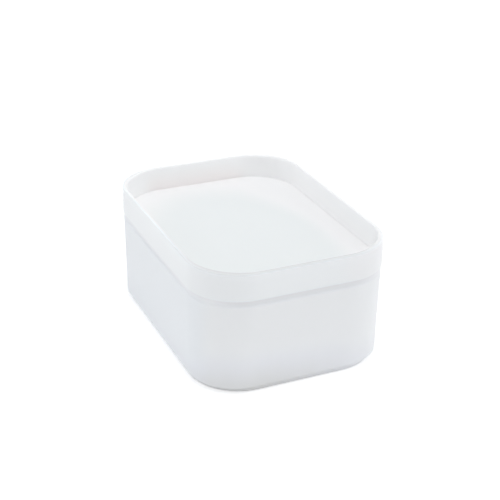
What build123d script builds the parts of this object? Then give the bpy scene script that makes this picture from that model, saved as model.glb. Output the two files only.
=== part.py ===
from build123d import *
import os
from math import atan, degrees, hypot

# Storage bin with a lift-off lid, both moulded in translucent polypropylene.
# Millimetres, +Z up. The origin is the middle of the footprint, on the surface that the bin stands on.
# The long sides run along Y, and the front is the short side that faces -Y.
# An inset is how far a surface lies inside the shared outline, which is that of the lid's lower edge.

# The shared outline. The tray and the foot have rounder corners, whose radius is also given at no inset.
length = 150.0
width = 110.0
corner_radius = 28.0
tray_corner_radius = 30.5

# Heights above the surface
foot_height = 3.2
rim_height = 54.0
total_height = 69.2

# The bin's shell
wall = 1.8
floor_thickness = 1.8
rim_inset = 0.4
base_inset = 1.0
foot_draft = 0.1
floor_clearance = 1.2
foot_ring_width = 3.0

# The bin's neck: the top of its wall is set in, which leaves a shadow gap under the lid's band
neck_height = 2.7
neck_step = 0.45
neck_slope_height = 1.2

# The lid's shell
band_wall = 1.9
band_draft = 0.3
tray_draft = 0.2
panel_thickness = 1.8
panel_rise = 1.4
flange_depth = 4.0
flange_wall = 1.6
flange_lead_in = 0.15

# Clearances of the lid's flange in the bin's mouth, and of a foot in the tray of the lid below it
flange_clearance = 0.35
stacking_clearance = 0.25

# Roundings. None of them takes more than this share of the wall or step that it sits on.
rounding_share = 0.35
rim_rounding = min(0.4, rounding_share * (wall - neck_step))
band_top_rounding = min(0.6, rounding_share * band_wall)
band_low_rounding = min(0.4, rounding_share * band_wall)
tray_rounding = min(0.8, rounding_share * (total_height - rim_height - panel_rise))
flange_root_rounding = min(0.4, rounding_share * flange_depth)
flange_tip_rounding = min(0.4, rounding_share * flange_wall)
floor_rounding = min(1.2, rounding_share * (foot_height + wall - floor_clearance))
shoulder_rounding = min(0.4, rounding_share * foot_height)
shoulder_root_rounding = min(0.3, rounding_share * foot_height)
foot_rounding = min(0.8, rounding_share * foot_height)
recess_rounding = min(0.4, rounding_share * floor_clearance)

# The round mark that the injection point leaves under each piece
gate_dish_radius = 4.0
gate_dish_depth = 0.4
gate_nub_radius = 0.9
gate_nub_height = 0.25

# Where the pieces meet: the tray's wall at its top, and the foot that drops inside that wall
tray_top_inset = band_draft + band_wall
foot_inset = tray_top_inset + stacking_clearance


def outline(inset, height, corner):
    """A rounded rectangle, set in from one with the given corner radius and lifted to a height."""
    sketch = RectangleRounded(width - 2 * inset, length - 2 * inset, corner - inset)
    return Plane.XY.offset(height) * sketch


def block(low_inset, high_inset, low, high, corner=corner_radius):
    """A solid between two heights, whose side leans from one inset to the other."""
    lean = degrees(atan((high_inset - low_inset) / (high - low)))
    return extrude(outline(low_inset, low, corner), amount=high - low, taper=lean)


def inset_of(point, corner):
    """How far a point lies inside the rounded rectangle with the given corner radius."""
    x = abs(point.X) - (width / 2 - corner)
    y = abs(point.Y) - (length / 2 - corner)
    return corner - hypot(max(x, 0), max(y, 0)) - min(max(x, y), 0)


def edge_loop(shape, height, inset, corner):
    """The edges of a shape that run round it at one height and one inset."""
    tolerance = 0.02
    found = ShapeList()
    for edge in shape.edges():
        points = [edge @ 0, edge @ 0.5, edge @ 1]
        level = all(abs(point.Z - height) < tolerance for point in points)
        if level and abs(inset_of(points[1], corner) - inset) < tolerance:
            found.append(edge)
    return found


def round_off(shape, roundings):
    """Rounds edge loops, each given by its height, inset, corner radius and rounding."""
    for height, inset, corner, rounding in roundings:
        shape = fillet(edge_loop(shape, height, inset, corner), rounding)
    return shape


def gate_mark(shape, height):
    """A shallow round dish in a face that looks down, with the nub of the injection point in it."""
    dish_top = height + gate_dish_depth
    dish = Pos(0, 0, dish_top - gate_dish_depth / 2) * Cylinder(gate_dish_radius, gate_dish_depth)
    nub = Pos(0, 0, dish_top - gate_nub_height / 2) * Cylinder(gate_nub_radius, gate_nub_height)
    return shape - dish + nub


# The bin: a tapered shell on a narrower foot, which drops into the tray of the lid below in a stack
def make_bin():
    floor_top = floor_clearance + floor_thickness
    ledge_height = foot_height + wall
    lean = (base_inset - rim_inset) / (rim_height - foot_height)
    ledge_inset = base_inset - lean * wall + wall
    foot_tip_inset = foot_inset + foot_draft
    foot_inner_inset = foot_inset + wall
    ring_inset = foot_tip_inset + foot_ring_width
    neck_low = rim_height - neck_height
    slope_low = neck_low - neck_slope_height
    slope_inset = rim_inset + lean * (rim_height - slope_low)
    neck_low_inset = rim_inset + lean * neck_height + neck_step
    neck_inset = rim_inset + neck_step

    shell = block(base_inset, slope_inset, foot_height, slope_low)
    shell += block(slope_inset, neck_low_inset, slope_low, neck_low)
    shell += block(neck_low_inset, neck_inset, neck_low, rim_height)
    shell += block(foot_tip_inset, foot_inset, 0, foot_height, tray_corner_radius)
    shell -= block(ledge_inset, rim_inset + wall, ledge_height, rim_height)
    shell -= block(foot_inner_inset, foot_inner_inset, floor_top, ledge_height, tray_corner_radius)
    shell -= block(ring_inset, ring_inset, 0, floor_clearance, tray_corner_radius)
    shell = round_off(shell, [
        (foot_height, base_inset, corner_radius, shoulder_rounding),
        (foot_height, foot_inset, tray_corner_radius, shoulder_root_rounding),
        (0, foot_tip_inset, tray_corner_radius, foot_rounding),
        (0, ring_inset, tray_corner_radius, recess_rounding),
        (floor_clearance, ring_inset, tray_corner_radius, recess_rounding),
        (ledge_height, foot_inner_inset, tray_corner_radius, shoulder_rounding),
        (ledge_height, ledge_inset, corner_radius, shoulder_root_rounding),
        (floor_top, foot_inner_inset, tray_corner_radius, floor_rounding),
        (rim_height, neck_inset, corner_radius, rim_rounding),
        (rim_height, rim_inset + wall, corner_radius, rim_rounding),
    ])
    return gate_mark(shell, floor_clearance)


# The lid: a shallow tray whose band stands on the bin's rim, with a flange that drops into its mouth
def make_lid():
    panel_top = rim_height + panel_rise
    panel_bottom = panel_top - panel_thickness
    flange_bottom = rim_height - flange_depth
    flange_inset = rim_inset + wall + flange_clearance
    flange_tip_inset = flange_inset + flange_lead_in
    flange_inner_inset = flange_tip_inset + flange_wall
    tray_low_inset = tray_top_inset + tray_draft

    shell = block(0, band_draft, rim_height, total_height)
    shell += block(flange_tip_inset, flange_inset, flange_bottom, rim_height)
    shell -= block(tray_low_inset, tray_top_inset, panel_top, total_height, tray_corner_radius)
    shell -= block(flange_inner_inset, flange_inner_inset, flange_bottom, panel_bottom)
    shell = round_off(shell, [
        (rim_height, 0, corner_radius, band_low_rounding),
        (rim_height, flange_inset, corner_radius, flange_root_rounding),
        (flange_bottom, flange_tip_inset, corner_radius, flange_tip_rounding),
        (flange_bottom, flange_inner_inset, corner_radius, flange_tip_rounding),
        (panel_bottom, flange_inner_inset, corner_radius, flange_tip_rounding),
        (panel_top, tray_low_inset, tray_corner_radius, tray_rounding),
        (total_height, band_draft, corner_radius, band_top_rounding),
        (total_height, tray_top_inset, tray_corner_radius, band_top_rounding),
    ])
    return gate_mark(shell, panel_bottom)


os.makedirs("parts", exist_ok=True)
export_step(make_bin(), "parts/bin.step")
export_step(make_lid(), "parts/lid.step")
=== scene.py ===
import math

import bpy
from mathutils import Matrix, Vector


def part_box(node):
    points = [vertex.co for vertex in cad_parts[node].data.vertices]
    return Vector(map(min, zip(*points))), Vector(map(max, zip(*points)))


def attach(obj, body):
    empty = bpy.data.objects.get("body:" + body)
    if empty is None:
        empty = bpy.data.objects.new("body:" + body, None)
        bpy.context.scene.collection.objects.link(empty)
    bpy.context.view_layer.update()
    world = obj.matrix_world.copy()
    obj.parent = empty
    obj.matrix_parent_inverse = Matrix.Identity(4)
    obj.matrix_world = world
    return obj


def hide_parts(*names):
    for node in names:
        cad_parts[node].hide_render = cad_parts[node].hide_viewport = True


# A lidded storage bin in frosted polypropylene: two mouldings, each a profile swept round an outline.
# Metres, Z up, long sides along Y, front towards -Y.
# An inset is how far a surface lies inside the outline that both mouldings share.

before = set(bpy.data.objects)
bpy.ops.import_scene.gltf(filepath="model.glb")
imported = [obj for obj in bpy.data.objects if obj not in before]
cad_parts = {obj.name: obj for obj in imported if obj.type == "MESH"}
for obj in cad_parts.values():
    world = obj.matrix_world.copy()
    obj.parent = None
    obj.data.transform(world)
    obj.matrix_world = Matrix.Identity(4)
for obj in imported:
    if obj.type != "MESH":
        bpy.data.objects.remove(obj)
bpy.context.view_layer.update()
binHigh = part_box("bin")[1]
lidLow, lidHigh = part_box("lid")
rim = binHigh.z
top = lidHigh.z

# The outline that both mouldings share, and how finely they are divided
outlineSet = {
    "width": 0.110,
    "length": 0.150,
    "cornerRadius": 0.028,
    "trayCornerRadius": 0.0305,   # of the tray and the foot, given at no inset like the other
    "columns": 320,               # faces round the outline
    "arcPoints": 48,              # points in each corner of the guide curve
    "roundingSteps": 7,           # faces across each rounding
    "supportGap": 0.00025,        # rings this close to a rounding keep the flat beside it flat
    "longestStep": 0.006,         # along the profile
    "mergeDistance": 0.000002,
}
halfWidth = outlineSet["width"] / 2
front = -outlineSet["length"] / 2

# Where a corner of a profile lies: on the shared outline, on the tray's rounder one, or on a round disc
onOutline, onTray, onDisc = (0.0, 0.0), (1.0, 0.0), (0.0, 1.0)


def newNode(tree, kind, inputs=None, **settings):
    node = tree.nodes.new(kind)
    for name, value in settings.items():
        setattr(node, name, value)
    for socket, value in (inputs or {}).items():
        if isinstance(value, bpy.types.NodeSocket):
            tree.links.new(value, node.inputs[socket])
        else:
            node.inputs[socket].default_value = value
    return node


def calculate(tree, operation, *values):
    return newNode(tree, "ShaderNodeMath", dict(enumerate(values)), operation=operation).outputs[0]


def vectorCalculate(tree, operation, *values):
    return newNode(tree, "ShaderNodeVectorMath", dict(enumerate(values)), operation=operation).outputs[0]


def scaleVector(tree, vector, factor):
    return newNode(tree, "ShaderNodeVectorMath", {0: vector, "Scale": factor}, operation="SCALE").outputs[0]


def lengthOf(tree, vector):
    return newNode(tree, "ShaderNodeVectorMath", {0: vector}, operation="LENGTH").outputs["Value"]


def partOf(tree, vector, axis):
    return newNode(tree, "ShaderNodeSeparateXYZ", {0: vector}).outputs[axis]


# A Mix node has sockets 4 and 5 for two vectors, and 6 and 7 for two colours
def mixVector(tree, factor, first, second):
    return newNode(tree, "ShaderNodeMix", {0: factor, 4: first, 5: second}, data_type="VECTOR").outputs[1]


def mixColour(tree, factor, first, second):
    return newNode(tree, "ShaderNodeMix", {0: factor, 6: first, 7: second}, data_type="RGBA").outputs[2]


def ramp(tree, value, start, end, shape="SMOOTHSTEP"):
    return newNode(tree, "ShaderNodeMapRange", {
        "Value": value, "From Min": start, "From Max": end}, interpolation_type=shape).outputs[0]


def noise(tree, place, scale, detail, roughness):
    return newNode(tree, "ShaderNodeTexNoise", {
        "Vector": place, "Scale": scale, "Detail": detail, "Roughness": roughness}).outputs["Fac"]


# Profiles: corners given as (inset, height, rounding, where), joined by runs and rounded by arcs

def roundedStops(corners):
    steps = outlineSet["roundingSteps"]
    stops = []
    for index, (inset, height, rounding, where) in enumerate(corners):
        corner = Vector((inset, height))
        if rounding == 0:
            stops.append([(corner, where)])
            continue
        before = (Vector(corners[index - 1][:2]) - corner).normalized()
        after = (Vector(corners[index + 1][:2]) - corner).normalized()
        turn = math.pi - before.angle(after)
        centre = corner + (before + after).normalized() * rounding / math.cos(turn / 2)
        start = corner + before * rounding * math.tan(turn / 2) - centre
        end = corner + after * rounding * math.tan(turn / 2) - centre
        side = math.copysign(turn / steps, start.cross(end))
        arc = [centre + Matrix.Rotation(side * step, 2) @ start for step in range(steps + 1)]
        stops.append([(point, where) for point in arc])
    return stops


def profilePoint(point, where):
    inset, height = point
    return Vector((inset, halfWidth - inset, height)), where


def divideRun(first, last):
    (start, startWhere), (end, endWhere) = first, last
    length = (end - start).xz.length
    gap = outlineSet["supportGap"]
    if length < 3 * gap:                      # no room for a ring of its own
        return []
    start, end = start.copy(), end.copy()
    if endWhere == onDisc != startWhere:      # between the outline and a disc, each end keeps its own measure
        start.y, end.x = end.y, start.x
    if startWhere == onDisc != endWhere:
        start.x, end.y = end.x, start.y
    pieces = math.ceil(length / outlineSet["longestStep"])
    shares = [gap / length] + [piece / pieces for piece in range(1, pieces)] + [1 - gap / length]
    run = []
    for share in shares:
        where = tuple(a + (b - a) * share for a, b in zip(startWhere, endWhere))
        run.append((start.lerp(end, share), where))
    return run


def profileMesh(name, corners):
    stops = [[profilePoint(*stop) for stop in group] for group in roundedStops(corners)]
    points = list(stops[0])
    for earlier, later in zip(stops, stops[1:]):
        points += divideRun(earlier[-1], later[0]) + later
    mesh = bpy.data.meshes.new(name)
    mesh.from_pydata([point for point, where in points], [], [])
    for share, label in enumerate(("trayShare", "discShare")):
        attribute = mesh.attributes.new(label, "FLOAT", "POINT")
        attribute.data.foreach_set("value", [where[share] for point, where in points])
    return mesh


# The tree that sweeps a profile round the outline, with the profile as the object's own mesh

def guideOutline(tree, width, length, radius, arcPoints, along):
    rectangle = newNode(tree, "GeometryNodeCurvePrimitiveQuadrilateral", {"Width": width, "Height": length})
    rounded = newNode(tree, "GeometryNodeFilletCurve", {
        "Curve": rectangle.outputs[0], "Count": arcPoints, "Radius": radius}, mode="POLY")
    sample = newNode(tree, "GeometryNodeSampleCurve", {
        "Curves": rounded.outputs[0], "Factor": along}, mode="FACTOR", use_all_curves=True)
    outward = vectorCalculate(tree, "CROSS_PRODUCT", sample.outputs["Tangent"], (0, 0, 1))
    return sample.outputs["Position"], vectorCalculate(tree, "NORMALIZE", outward)


def sweepTree():
    tree = bpy.data.node_groups.new("sweptMoulding", "GeometryNodeTree")
    face = tree.interface
    face.new_socket(name="Profile", in_out="INPUT", socket_type="NodeSocketGeometry")
    for label in ("Width", "Length", "Corner Radius", "Tray Corner Radius", "Merge Distance"):
        face.new_socket(name=label, in_out="INPUT", socket_type="NodeSocketFloat")
    for label in ("Columns", "Arc Points"):
        face.new_socket(name=label, in_out="INPUT", socket_type="NodeSocketInt")
    face.new_socket(name="Material", in_out="INPUT", socket_type="NodeSocketMaterial")
    face.new_socket(name="Moulding", in_out="OUTPUT", socket_type="NodeSocketGeometry")
    given = newNode(tree, "NodeGroupInput").outputs

    # A grid has one column for each step round the outline and one row for each point of the profile
    size = newNode(tree, "GeometryNodeAttributeDomainSize", {"Geometry": given["Profile"]})
    rows = size.outputs["Point Count"]
    columns = calculate(tree, "ADD", given["Columns"], 1)
    grid = newNode(tree, "GeometryNodeMeshGrid", {
        "Size X": 1, "Size Y": 1, "Vertices X": columns, "Vertices Y": rows})
    place = newNode(tree, "GeometryNodeInputPosition").outputs[0]
    along = calculate(tree, "ADD", partOf(tree, place, "X"), 0.5)
    across = calculate(tree, "ADD", partOf(tree, place, "Y"), 0.5)
    row = calculate(tree, "ROUND", calculate(tree, "MULTIPLY", across, calculate(tree, "SUBTRACT", rows, 1)))

    def fromProfile(value, kind):
        sample = newNode(tree, "GeometryNodeSampleIndex", {
            "Geometry": given["Profile"], "Value": value, "Index": row}, data_type=kind, domain="POINT")
        return sample.outputs[0]

    def share(label):
        named = newNode(tree, "GeometryNodeInputNamedAttribute", {"Name": label}, data_type="FLOAT")
        return fromProfile(named.outputs[0], "FLOAT")

    stop = fromProfile(place, "FLOAT_VECTOR")
    inward = calculate(tree, "MULTIPLY", partOf(tree, stop, "X"), -1)
    rise = vectorCalculate(tree, "MULTIPLY", stop, (0, 0, 1))

    places = []
    for radius in ("Corner Radius", "Tray Corner Radius"):
        position, outward = guideOutline(
            tree, given["Width"], given["Length"], given[radius], given["Arc Points"], along)
        places.append(vectorCalculate(tree, "ADD", position, scaleVector(tree, outward, inward)))
    discPlace = scaleVector(tree, vectorCalculate(tree, "NORMALIZE", position), partOf(tree, stop, "Y"))
    swept = mixVector(tree, share("trayShare"), *places)
    swept = mixVector(tree, share("discShare"), swept, discPlace)
    swept = vectorCalculate(tree, "ADD", swept, rise)

    moved = newNode(tree, "GeometryNodeSetPosition", {"Geometry": grid.outputs["Mesh"], "Position": swept})
    closed = newNode(tree, "GeometryNodeMergeByDistance", {
        "Geometry": moved.outputs[0], "Distance": given["Merge Distance"]})
    smooth = newNode(tree, "GeometryNodeSetShadeSmooth", {
        "Geometry": closed.outputs[0], "Shade Smooth": True})
    real = newNode(tree, "GeometryNodeRealizeInstances", {"Geometry": smooth.outputs[0]})
    dressed = newNode(tree, "GeometryNodeSetMaterial", {
        "Geometry": real.outputs[0], "Material": given["Material"]})
    newNode(tree, "NodeGroupOutput", {"Moulding": dressed.outputs[0]})
    return tree


def sweepMoulding(tree, name, corners, material):
    source = bpy.data.objects.new(name + "Profile", profileMesh(name + "Profile", corners))
    bpy.context.scene.collection.objects.link(source)
    modifier = source.modifiers.new("sweep", "NODES")
    modifier.node_group = tree
    values = {
        "Width": outlineSet["width"],
        "Length": outlineSet["length"],
        "Corner Radius": outlineSet["cornerRadius"],
        "Tray Corner Radius": outlineSet["trayCornerRadius"],
        "Merge Distance": outlineSet["mergeDistance"],
        "Columns": outlineSet["columns"],
        "Arc Points": outlineSet["arcPoints"],
        "Material": material,
    }
    for socket in tree.interface.items_tree:
        if socket.in_out == "INPUT" and socket.name in values:
            modifier[socket.identifier] = values[socket.name]
    graph = bpy.context.evaluated_depsgraph_get()
    mesh = bpy.data.meshes.new_from_object(source.evaluated_get(graph))
    mesh.name = name
    bpy.data.objects.remove(source)
    piece = bpy.data.objects.new(name, mesh)
    bpy.context.scene.collection.objects.link(piece)
    print(name, "has", len(mesh.vertices), "points and", len(mesh.polygons), "faces")
    return piece


# The bin: a tapered shell on a narrower foot
binSet = {
    "wall": 0.0018,
    "floorThickness": 0.0018,
    "footHeight": 0.0032,
    "footDraft": 0.0001,
    "stackingClearance": 0.00025,       # of the foot, all round in the tray of another bin's lid
    "footRingWidth": 0.003,
    "floorClearance": 0.0012,
    "baseInset": 0.001,
    "rimInset": 0.0004,
    "rimRounding": 0.0004,
    "neckHeight": 0.0027,               # the wall's top is set in, for a shadow gap under the lid's band
    "neckStep": 0.00045,
    "neckSlopeHeight": 0.0012,
    "neckRounding": 0.00015,
    "shoulderRounding": 0.0004,
    "shoulderRoot": 0.0003,
    "footRounding": 0.0008,
    "recessRounding": 0.0004,
    "floorRounding": 0.0012,
}

# The mark of the injection point: a shallow dish with a nub in it, in a face that looks down
gateSet = {
    "dishRadius": 0.004,
    "dishDepth": 0.0004,
    "nubRadius": 0.0009,
    "nubHeight": 0.00025,
    "rounding": 0.00008,
}


def gateCorners(height):
    nubSide = halfWidth - gateSet["nubRadius"]
    dishSide = halfWidth - gateSet["dishRadius"]
    dishTop = height + gateSet["dishDepth"]
    nubTip = dishTop - gateSet["nubHeight"]
    return [
        (halfWidth, nubTip, 0, onDisc),
        (nubSide, nubTip, gateSet["rounding"], onDisc),
        (nubSide, dishTop, gateSet["rounding"], onDisc),
        (dishSide, dishTop, gateSet["rounding"], onDisc),
        (dishSide, height, gateSet["rounding"], onDisc),
    ]


def binCorners(s):
    footInset = lidSet["bandDraft"] + lidSet["bandWall"] + s["stackingClearance"]
    floorTop = s["floorClearance"] + s["floorThickness"]
    ledge = s["footHeight"] + s["wall"]
    lean = (s["baseInset"] - s["rimInset"]) / (rim - s["footHeight"])
    ledgeInset = s["baseInset"] - lean * s["wall"] + s["wall"]
    footTip = footInset + s["footDraft"]
    footInner = footInset + s["wall"]
    ring = footTip + s["footRingWidth"]
    neckLow = rim - s["neckHeight"]
    slopeLow = neckLow - s["neckSlopeHeight"]
    neckInset = s["rimInset"] + s["neckStep"]
    return gateCorners(s["floorClearance"]) + [
        (ring, s["floorClearance"], s["recessRounding"], onTray),
        (ring, 0, s["recessRounding"], onTray),
        (footTip, 0, s["footRounding"], onTray),
        (footInset, s["footHeight"], s["shoulderRoot"], onTray),
        (s["baseInset"], s["footHeight"], s["shoulderRounding"], onOutline),
        (s["rimInset"] + lean * (rim - slopeLow), slopeLow, s["neckRounding"], onOutline),
        (neckInset + lean * s["neckHeight"], neckLow, s["neckRounding"], onOutline),
        (neckInset, rim, s["rimRounding"], onOutline),
        (s["rimInset"] + s["wall"], rim, s["rimRounding"], onOutline),
        (ledgeInset, ledge, s["shoulderRoot"], onOutline),
        (footInner, ledge, s["shoulderRounding"], onTray),
        (footInner, floorTop, s["floorRounding"], onTray),
        (halfWidth, floorTop, 0, onDisc),
    ]


# The lid: a shallow tray, with a flange that drops into the bin's mouth
lidSet = {
    "bandWall": 0.0019,
    "bandDraft": 0.0003,
    "trayDraft": 0.0002,
    "panelThickness": 0.0018,
    "panelRise": 0.0014,
    "flangeWall": 0.0016,
    "flangeLeadIn": 0.00015,
    "flangeClearance": 0.00035,
    "bandLowRounding": 0.0004,
    "bandTopRounding": 0.0006,
    "trayRounding": 0.0008,
    "flangeRounding": 0.0004,
}


def lidCorners(s):
    flangeBottom = lidLow.z
    panelTop = rim + s["panelRise"]
    panelBottom = panelTop - s["panelThickness"]
    flangeInset = binSet["rimInset"] + binSet["wall"] + s["flangeClearance"]
    flangeTip = flangeInset + s["flangeLeadIn"]
    flangeInner = flangeTip + s["flangeWall"]
    trayTop = s["bandDraft"] + s["bandWall"]
    return gateCorners(panelBottom) + [
        (flangeInner, panelBottom, s["flangeRounding"], onOutline),
        (flangeInner, flangeBottom, s["flangeRounding"], onOutline),
        (flangeTip, flangeBottom, s["flangeRounding"], onOutline),
        (flangeInset, rim, s["flangeRounding"], onOutline),
        (0, rim, s["bandLowRounding"], onOutline),
        (s["bandDraft"], top, s["bandTopRounding"], onOutline),
        (trayTop, top, s["bandTopRounding"], onTray),
        (trayTop + s["trayDraft"], panelTop, s["trayRounding"], onTray),
        (halfWidth, panelTop, 0, onDisc),
    ]


# The frosted plastic: one group gives the tints with painted light and shade, the satin and the fine grain of
# both mouldings
flowSet = {
    "vectors": ("Place", "Outline", "Painted Shade Centre", "Painted Shade Scale", "Edge Centre", "Edge Scale"),
    "numbers": (
        "Outline Corner", "Painted Shade From", "Painted Shade To", "Side From", "Side To", "Side Share",
        "Band From", "Band To", "Wall From", "Wall To", "Wall Base", "Foot From", "Foot To",
        "Edge From", "Edge To", "Edge Fade", "Fade From", "Fade To",
        "Cloud Size", "Cloudiness", "Streak Count", "Grain Size", "Satin", "Satin Spread"),
    "tints": ("Painted Shade Tint", "Pale Tint", "Side Light And Shade Tint", "Band Light Tint", "Wall Tint", "Wall Foot Shade Tint", "Edge Tint"),
    "streakDrift": 12,                  # how fast the streaks change along their way
    "streakNoise": (1, 3, 0.55),        # scale, detail and roughness
    "cloudNoise": (2, 0.5),             # detail and roughness
    "grainNoise": (2, 0.6),
}


def flowSockets(tree):
    face = tree.interface
    kinds = (("vectors", "NodeSocketVector"), ("numbers", "NodeSocketFloat"), ("tints", "NodeSocketColor"))
    for labels, kind in kinds:
        for label in flowSet[labels]:
            face.new_socket(name=label, in_out="INPUT", socket_type=kind)
    face.new_socket(name="Tint", in_out="OUTPUT", socket_type="NodeSocketColor")
    face.new_socket(name="Roughness", in_out="OUTPUT", socket_type="NodeSocketFloat")
    face.new_socket(name="Height", in_out="OUTPUT", socket_type="NodeSocketFloat")


# Melt runs outwards from the injection point in the middle, so the streaks fan out from there
def cloudsAndStreaks(tree, given, flat):
    fan = scaleVector(tree, vectorCalculate(tree, "NORMALIZE", flat), given["Streak Count"])
    drift = scaleVector(tree, given["Place"], flowSet["streakDrift"])
    streaks = noise(tree, vectorCalculate(tree, "ADD", fan, drift), *flowSet["streakNoise"])
    cloudScale = calculate(tree, "DIVIDE", 1, given["Cloud Size"])
    clouds = noise(tree, given["Place"], cloudScale, *flowSet["cloudNoise"])
    return calculate(tree, "SUBTRACT", calculate(tree, "ADD", streaks, clouds), 1)


def insetOf(tree, given, flat):
    straight = scaleVector(tree, given["Outline"], 0.5)
    radius = given["Outline Corner"]
    corner = newNode(tree, "ShaderNodeCombineXYZ", {"X": radius, "Y": radius}).outputs[0]
    beyond = vectorCalculate(tree, "SUBTRACT", vectorCalculate(tree, "ABSOLUTE", flat), straight)
    beyond = vectorCalculate(tree, "MAXIMUM", vectorCalculate(tree, "ADD", beyond, corner), (0, 0, 0))
    return calculate(tree, "SUBTRACT", radius, lengthOf(tree, beyond))


# How far a place lies from a centre, in lengths that differ from one axis to the next
def awayFrom(tree, place, centre, scale):
    away = vectorCalculate(tree, "SUBTRACT", place, centre)
    return lengthOf(tree, vectorCalculate(tree, "MULTIPLY", away, scale))


def flowAndShadeGroup():
    tree = bpy.data.node_groups.new("mouldedFlowAndShade", "ShaderNodeTree")
    flowSockets(tree)
    given = newNode(tree, "NodeGroupInput").outputs
    place = given["Place"]
    flat = vectorCalculate(tree, "MULTIPLY", place, (1, 1, 0))
    height = partOf(tree, place, "Z")

    # Painted shade: darker at the bin's base and near front, and in the middle of the lid's panel than at its
    # margins
    reach = awayFrom(tree, place, given["Painted Shade Centre"], given["Painted Shade Scale"])
    unshaded = ramp(tree, reach, given["Painted Shade From"], given["Painted Shade To"])
    share = calculate(tree, "MULTIPLY_ADD", cloudsAndStreaks(tree, given, flat), given["Cloudiness"], unshaded)
    body = mixColour(tree, share, given["Painted Shade Tint"], given["Pale Tint"])

    # Painted light and shade on one side: the lid's right paler, as if lit through its wall, the bin's left a
    # cooler shade
    side = ramp(tree, partOf(tree, place, "X"), given["Side From"], given["Side To"])
    body = mixColour(tree, calculate(tree, "MULTIPLY", side, unshaded), body, given["Side Light And Shade Tint"])

    # Painted light on the lid's band, and painted shade at the foot of its tray's wall, which grows paler
    # from there up
    inset = insetOf(tree, given, flat)
    inner = ramp(tree, inset, given["Band From"], given["Band To"])
    inner = calculate(tree, "MULTIPLY", inner, calculate(tree, "GREATER_THAN", height, given["Wall Base"]))
    risen = ramp(tree, height, given["Foot From"], given["Foot To"], "LINEAR")
    wall = mixColour(tree, risen, given["Wall Foot Shade Tint"], given["Wall Tint"])
    sides = mixColour(tree, inner, given["Band Light Tint"], wall)
    sides = mixColour(tree, calculate(tree, "MULTIPLY", side, given["Side Share"]), sides, given["Side Light And Shade Tint"])
    tint = mixColour(tree, ramp(tree, inset, given["Wall From"], given["Wall To"]), sides, body)

    # Painted shade along the top edge, most of all at the front: a painted shadow under the lid's band on the
    # bin, a darker rim top on the lid
    away = awayFrom(tree, place, given["Edge Centre"], given["Edge Scale"])
    faded = ramp(tree, away, given["Fade From"], given["Fade To"])
    faded = calculate(tree, "MULTIPLY", faded, given["Edge Fade"])
    edge = ramp(tree, height, given["Edge From"], given["Edge To"])
    edge = calculate(tree, "MULTIPLY", edge, calculate(tree, "SUBTRACT", 1, faded))
    tint = mixColour(tree, edge, tint, given["Edge Tint"])

    grainScale = calculate(tree, "DIVIDE", 1, given["Grain Size"])
    grain = noise(tree, place, grainScale, *flowSet["grainNoise"])
    satin = calculate(tree, "SUBTRACT", grain, 0.5)
    satin = calculate(tree, "MULTIPLY_ADD", satin, given["Satin Spread"], given["Satin"])
    newNode(tree, "NodeGroupOutput", {"Tint": tint, "Roughness": satin, "Height": grain})
    return tree


def frostedPlastic(name, look, flow):
    material = bpy.data.materials.new(name)
    material.use_nodes = True
    tree = material.node_tree
    shader = tree.nodes["Principled BSDF"]
    place = newNode(tree, "ShaderNodeTexCoord").outputs["Object"]
    group = newNode(tree, "ShaderNodeGroup", node_tree=flow)
    tree.links.new(place, group.inputs["Place"])
    for label in group.inputs.keys():
        if label in look:
            group.inputs[label].default_value = look[label]
    bump = newNode(tree, "ShaderNodeBump", {
        "Height": group.outputs["Height"], "Distance": look["grainDepth"]})
    tree.links.new(group.outputs["Tint"], shader.inputs["Base Color"])
    tree.links.new(group.outputs["Roughness"], shader.inputs["Roughness"])
    tree.links.new(bump.outputs["Normal"], shader.inputs["Normal"])
    shader.inputs["IOR"].default_value = look["ior"]
    shader.inputs["Subsurface Weight"].default_value = look["milkiness"]
    shader.inputs["Subsurface Radius"].default_value = look["glowColour"]
    shader.inputs["Subsurface Scale"].default_value = look["glowDepth"]
    return material


binLook = {
    "Outline": (outlineSet["width"], outlineSet["length"], 0),
    "Outline Corner": outlineSet["cornerRadius"],
    # Painted shade towards the bin's base and its near front
    "Painted Shade Tint": (0.775, 0.775, 0.762, 1),
    "Pale Tint": (0.91, 0.923, 0.962, 1),
    "Painted Shade Centre": (-0.030, front, 0),
    "Painted Shade Scale": (0.25, 0.25, 1),
    "Painted Shade From": -0.004,
    "Painted Shade To": 0.028,
    # Painted shade, cooler, on the bin's left side
    "Side Light And Shade Tint": (0.872, 0.898, 0.952, 1),
    "Side From": 0.008 - halfWidth,
    "Side To": 0.001 - halfWidth,
    "Band From": -0.002,        # outside the bin, so that it has neither band nor tray
    "Band To": -0.001,
    "Wall From": -0.002,
    "Wall To": -0.001,
    # Painted shadow on the bin's wall under the lid's band
    "Edge Tint": (0.85, 0.86, 0.87, 1),
    "Edge From": rim - 0.0042,
    "Edge To": rim - 0.0020,
    "Edge Fade": 1.0,
    "Edge Centre": (-0.004, front, 0),
    "Edge Scale": (21.0, 34.0, 0),
    "Fade From": 0.6,
    "Fade To": 1.15,
    "Cloud Size": 0.03,
    "Cloudiness": 0.15,
    "Streak Count": 5.0,
    "Grain Size": 0.00035,
    "Satin": 0.42,
    "Satin Spread": 0.12,
    "grainDepth": 0.00001,
    "ior": 1.49,
    "milkiness": 1.0,
    "glowColour": (1.0, 1.0, 1.0),
    "glowDepth": 0.0013,
}
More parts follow.
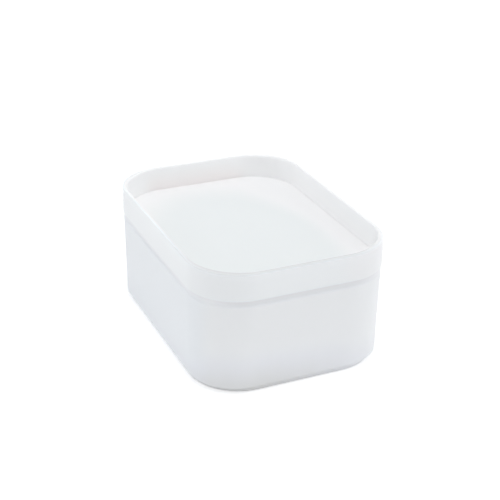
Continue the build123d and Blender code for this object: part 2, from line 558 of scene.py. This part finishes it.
lidLook = dict(binLook, **{
    # Painted shade in the middle of the lid's panel, painted light towards its margins
    "Painted Shade Tint": (0.842, 0.872, 0.867, 1),
    "Pale Tint": (0.955, 0.950, 0.940, 1),
    "Painted Shade Centre": (-0.008, -0.020, 0),
    "Painted Shade Scale": (18.0, 11.5, 0),
    "Painted Shade From": 0.7,
    "Painted Shade To": 1.2,
    # Painted light on the lid's right side, as if lit through its wall
    "Side Light And Shade Tint": (1, 1, 1, 1),
    "Side From": halfWidth - 0.039,
    "Side To": halfWidth - 0.011,
    "Side Share": 0.55,
    # Painted light on the band, as light through its wall would give it
    "Band Light Tint": (0.905, 0.955, 0.995, 1),
    "Band From": 0.0010,
    "Band To": 0.0020,
    "Wall Tint": (0.965, 0.935, 0.93, 1),
    # Painted shade at the foot of the tray's wall
    "Wall Foot Shade Tint": (0.90, 0.868, 0.862, 1),
    "Wall From": 0.0026,
    "Wall To": 0.0034,
    "Wall Base": rim + 0.0006,        # the flange below it looks like the band
    "Foot From": rim + 0.0020,
    "Foot To": top - 0.0007,
    # Painted shade on the lid's rim top
    "Edge Tint": (0.73, 0.735, 0.735, 1),
    "Edge From": top - 0.0010,
    "Edge To": top - 0.0001,
    "Edge Fade": 0.9,
    "Edge Centre": (-0.012, front, 0),
    "Edge Scale": (17.0, 12.0, 0),
    "Fade From": 0.5,
    "Fade To": 1.3,
    "Satin": 0.38,
})

flow = flowAndShadeGroup()
sweep = sweepTree()
binShell = sweepMoulding(sweep, "bin_shell", binCorners(binSet), frostedPlastic("frostedBin", binLook, flow))
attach(binShell, "bin")
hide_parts("bin")
lidShell = sweepMoulding(sweep, "lid_shell", lidCorners(lidSet), frostedPlastic("frostedLid", lidLook, flow))
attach(lidShell, "lid")
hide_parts("lid")
print("mouldings made")

# A white light tent: a glow that is brightest at its two sides, a soft lamp above, and a white floor
tentSet = {
    "glow": 0.68,
    "glowTint": (0.985, 1.0, 1.025, 1),
    "seenTint": (1, 1, 1, 1),        # what the camera itself sees
    "seenGlow": 1.0,
    "sides": {                       # each side's direction, and how much it adds to the glow
        "left": ((-1.0, 0.0, 0.2), 0.40),
        "right": ((0.94, -0.30, 0.25), 0.62),
        "back": ((0.41, 0.91, 0.4), -0.26),
        "camera": ((-0.41, -0.91, 0.1), -0.14),
    },
    "sideSpread": 2.0,               # higher is narrower
    "floorSize": 6.0,
    "floorDrop": 0.00005,
    "floorColour": (0.9, 0.9, 0.9, 1),
    "floorRoughness": 0.9,
    "floorLift": 0.38,               # for the camera, so that the open floor is white and a shadow shows
}
lampSet = {
    "above": {"place": (0.0, 0.0, 1.0), "size": 0.5, "power": 1.9},
}


def seenDirectly(tree):
    path = newNode(tree, "ShaderNodeLightPath")
    seen = calculate(tree, "MAXIMUM", path.outputs["Is Camera Ray"], path.outputs["Is Glossy Ray"])
    return calculate(tree, "MAXIMUM", seen, path.outputs["Is Transmission Ray"])


def makeFloor():
    half = tentSet["floorSize"] / 2
    mesh = bpy.data.meshes.new("floor")
    corners = [(-half, -half), (half, -half), (half, half), (-half, half)]
    mesh.from_pydata([(x, y, -tentSet["floorDrop"]) for x, y in corners], [], [(0, 1, 2, 3)])
    floor = bpy.data.objects.new("floor", mesh)
    bpy.context.scene.collection.objects.link(floor)
    material = bpy.data.materials.new("paleFloor")
    material.use_nodes = True
    tree = material.node_tree
    shader = tree.nodes["Principled BSDF"]
    shader.inputs["Base Color"].default_value = tentSet["floorColour"]
    shader.inputs["Roughness"].default_value = tentSet["floorRoughness"]
    shader.inputs["Specular IOR Level"].default_value = 0.0
    shader.inputs["Emission Color"].default_value = (1, 1, 1, 1)
    lift = calculate(tree, "MULTIPLY", seenDirectly(tree), tentSet["floorLift"])
    tree.links.new(lift, shader.inputs["Emission Strength"])
    mesh.materials.append(material)


def lightTent():
    world = bpy.data.worlds.new("lightTent")
    bpy.context.scene.world = world
    world.use_nodes = True
    tree = world.node_tree
    background = tree.nodes["Background"]
    seen = seenDirectly(tree)
    colour = mixColour(tree, seen, tentSet["glowTint"], tentSet["seenTint"])
    tree.links.new(colour, background.inputs["Color"])
    direction = newNode(tree, "ShaderNodeTexCoord").outputs["Generated"]
    glow = tentSet["glow"]
    for side, extra in tentSet["sides"].values():
        towards = newNode(tree, "ShaderNodeVectorMath", {
            0: direction, 1: Vector(side).normalized()}, operation="DOT_PRODUCT").outputs["Value"]
        share = calculate(tree, "POWER", calculate(tree, "MAXIMUM", towards, 0), tentSet["sideSpread"])
        glow = calculate(tree, "MULTIPLY_ADD", share, extra, glow)
    strength = newNode(tree, "ShaderNodeMix", {0: seen, 2: glow, 3: tentSet["seenGlow"]}, data_type="FLOAT")
    tree.links.new(strength.outputs[0], background.inputs["Strength"])


def hangLamps():
    for name, lamp in lampSet.items():
        data = bpy.data.lights.new(name, "AREA")
        data.shape = "DISK"
        data.size = lamp["size"]
        data.energy = lamp["power"]
        softbox = bpy.data.objects.new(name, data)
        softbox.location = lamp["place"]
        aim = Vector((0, 0, top / 2)) - softbox.location
        softbox.rotation_euler = aim.to_track_quat("-Z", "Y").to_euler()
        bpy.context.scene.collection.objects.link(softbox)


makeFloor()
lightTent()
hangLamps()
print("tent and lamps placed")

# The camera, found by matching the object's outlines in the photograph
cameraSet = {
    "target": (0.00903, 0.01528, 0.0346),
    "azimuth": -24.456,      # degrees, 0 looks along +Y
    "elevation": 25.896,
    "distance": 0.665,
    "roll": 0.924,
    "lens": 82.98,
    "sensor": 36.0,
    "clipStart": 0.01,
}


def placeCamera(s):
    azimuth, elevation, roll = (math.radians(s[label]) for label in ("azimuth", "elevation", "roll"))
    level = math.cos(elevation)
    back = Vector((math.sin(azimuth) * level, -math.cos(azimuth) * level, math.sin(elevation)))
    data = bpy.data.cameras.new("camera")
    data.lens = s["lens"]
    data.sensor_width = s["sensor"]
    data.clip_start = s["clipStart"]
    camera = bpy.data.objects.new("camera", data)
    turned = back.to_track_quat("Z", "Y").to_matrix() @ Matrix.Rotation(roll, 3, "Z")
    camera.matrix_world = Matrix.Translation(Vector(s["target"]) + back * s["distance"]) @ turned.to_4x4()
    bpy.context.scene.collection.objects.link(camera)
    bpy.context.scene.camera = camera


placeCamera(cameraSet)
bpy.context.scene.view_settings.view_transform = "Standard"
print("camera placed")
